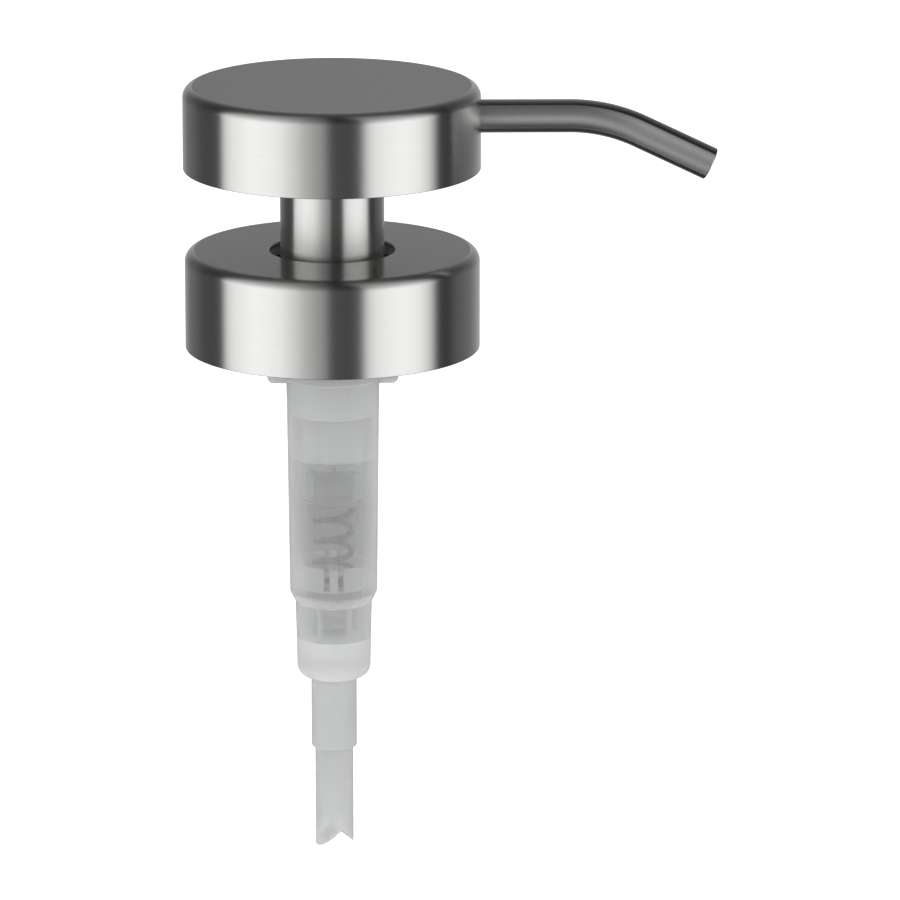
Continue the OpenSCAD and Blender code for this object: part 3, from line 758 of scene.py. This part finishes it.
FLOOR_R = 6.0
FLOOR_GAP = 0.0002
FLOOR_GLOW = 0.75
floor_mesh = bmesh.new()
bmesh.ops.create_circle(floor_mesh, cap_ends=True, segments=96, radius=FLOOR_R)
floor = finish_mesh("floor", floor_mesh)
floor.location = (0, 0, cad_bounds[0][2] - FLOOR_GAP)
floor_material, floor_tree, floor_shader, floor_place = new_material("floor_paper")
floor_tone = tinted(floor_tree, noise(floor_tree, floor_place, 3.0, 2.0),
                    (0.90, 0.90, 0.90), (0.94, 0.94, 0.94))
floor_tree.links.new(floor_tone, floor_shader.inputs["Base Color"])
floor_shader.inputs["Roughness"].default_value = 0.9
floor_shader.inputs["Emission Color"].default_value = (1, 1, 1, 1)
floor_shader.inputs["Emission Strength"].default_value = FLOOR_GLOW
# Light that reaches the eye through the frosted plastic meets a dimmer floor
BACKLIGHT = (0.09, 0.09, 0.09, 1)
backlight = shader_node(floor_tree, "ShaderNodeEmission", {}, {"Color": BACKLIGHT})
through = floor_tree.nodes.new("ShaderNodeLightPath").outputs["Is Transmission Ray"]
floor_mix = shader_node(floor_tree, "ShaderNodeMixShader", {}, {
    "Fac": through, 1: floor_shader.outputs[0], 2: backlight.outputs[0],
})
floor_tree.links.new(floor_mix.outputs[0], floor_tree.nodes["Material Output"].inputs["Surface"])
floor.data.materials.append(floor_material)
floor.visible_glossy = False

# Brightness of the studio round the pump, by azimuth in degrees from the camera, + to the right.
# Most of these stops are grey levels read along one row of the photo, across the head's side,
# made linear and divided by 0.65. They should be replaced.
AROUND = (
    (-180, 0.49), (-150, 0.17), (-133, 0.127), (-122, 0.079), (-104, 0.075), (-96, 0.12),
    (-92, 0.93), (-85, 1.15), (-65, 1.40), (-51, 1.35), (-41, 1.27), (-35, 1.08), (-27, 0.89),
    (-22, 0.67), (-17, 0.62), (-13, 0.475), (-8, 0.45), (-3, 0.20), (0, 0.10), (15, 0.085),
    (22, 0.13), (27, 0.90), (34, 1.19), (44, 1.32), (56, 1.40), (70, 1.29), (82, 0.93),
    (90, 0.08), (101, 0.04), (112, 0.11), (138, 0.18), (180, 0.51),
)
# And by elevation in degrees: first worked out from the spout's greys, then set one by one
UPWARDS = (
    (-90, 0.12), (-60, 0.18), (-45, 0.42), (-30, 0.92), (-14, 1.26), (0, 1.14), (12, 0.8),
    (25, 0.55), (39, 0.42), (53, 0.3), (66, 0.2), (90, 0.12),
)


def brightness_ramp(tree, value, stops, low_end, high_end):
    """A grey from a list of (position, brightness) stops."""
    ramp = shader_node(tree, "ShaderNodeValToRGB", {}, {"Fac": value})
    elements = ramp.color_ramp.elements
    elements.remove(elements[1])
    for i, (position, grey) in enumerate(stops):
        share = (position - low_end) / (high_end - low_end)
        if i == 0:
            elements[0].position = share
            elements[0].color = (grey, grey, grey, 1)
        else:
            elements.new(share).color = (grey, grey, grey, 1)
    return ramp.outputs["Color"]


def build_studio():
    """Softboxes left and right with dark gaps between, in a dim room.

    The camera sees white behind the pump."""
    world = bpy.data.worlds.new("studio")
    bpy.context.scene.world = world
    world.use_nodes = True
    tree = world.node_tree
    direction = tree.nodes.new("ShaderNodeTexCoord").outputs["Generated"]
    parts = shader_node(tree, "ShaderNodeSeparateXYZ", {}, {"Vector": direction})

    def math_node(operation, *values):
        return shader_node(tree, "ShaderNodeMath", {"operation": operation},
                           dict(enumerate(values))).outputs[0]

    forward = math_node("MULTIPLY", parts.outputs["Y"], -1.0)
    azimuth = math_node("ARCTAN2", parts.outputs["X"], forward)
    elevation = math_node("ARCSINE", parts.outputs["Z"])
    round_share = math_node("MULTIPLY_ADD", azimuth, 1 / math.tau, 0.5)
    up_share = math_node("MULTIPLY_ADD", elevation, 1 / math.pi, 0.5)
    around = brightness_ramp(tree, round_share, AROUND, -180, 180)
    upwards = brightness_ramp(tree, up_share, UPWARDS, -90, 90)
    room = shader_node(tree, "ShaderNodeMix", {"data_type": "RGBA", "blend_type": "MULTIPLY"},
                       {"Factor": 1.0, "A": around, "B": upwards})
    background = tree.nodes["Background"]
    tree.links.new(room.outputs["Result"], background.inputs["Color"])
    backdrop = shader_node(tree, "ShaderNodeBackground", {}, {"Color": (1, 1, 1, 1)})
    seen = tree.nodes.new("ShaderNodeLightPath").outputs["Is Camera Ray"]
    mixed = shader_node(tree, "ShaderNodeMixShader", {}, {
        "Fac": seen, 1: background.outputs[0], 2: backdrop.outputs[0],
    })
    tree.links.new(mixed.outputs[0], tree.nodes["World Output"].inputs["Surface"])


build_studio()

# Four soft fill lights round the pump, which its mirror-like steel doesn't reflect
FILL_COUNT = 4
FILL_WATTS = 13.5
FILL_SIZE = 1.5
FILL_REACH = 2.2
FILL_HEIGHT = 1.2
for k in range(FILL_COUNT):
    fill_data = bpy.data.lights.new(f"fill_{k + 1}", "AREA")
    fill_data.energy = FILL_WATTS
    fill_data.size = FILL_SIZE
    fill = bpy.data.objects.new(f"fill_{k + 1}", fill_data)
    angle = math.tau * (k + 0.5) / FILL_COUNT
    fill.location = (FILL_REACH * math.cos(angle), FILL_REACH * math.sin(angle), FILL_HEIGHT)
    fill.rotation_euler = fill.location.to_track_quat("Z", "Y").to_euler()
    fill.visible_glossy = False
    fill.visible_camera = False
    bpy.context.scene.collection.objects.link(fill)

CAMERA_PITCH = math.radians(14.40)
CAMERA_YAW = math.radians(0.95)
CAMERA_PLACE = (0.0, -1.2935, 0.2996)
LENS = 291.0
SENSOR = 36.0
LIGHT_BOUNCES = 24
camera_data = bpy.data.cameras.new("camera")
camera_data.lens = LENS
camera_data.sensor_width = SENSOR
camera = bpy.data.objects.new("camera", camera_data)
camera.location = CAMERA_PLACE
camera.rotation_euler = (math.pi / 2 - CAMERA_PITCH, 0, -CAMERA_YAW)
bpy.context.scene.collection.objects.link(camera)
bpy.context.scene.camera = camera
bpy.context.scene.view_settings.view_transform = "Standard"
bpy.context.scene.cycles.max_bounces = LIGHT_BOUNCES
bpy.context.scene.cycles.transmission_bounces = LIGHT_BOUNCES
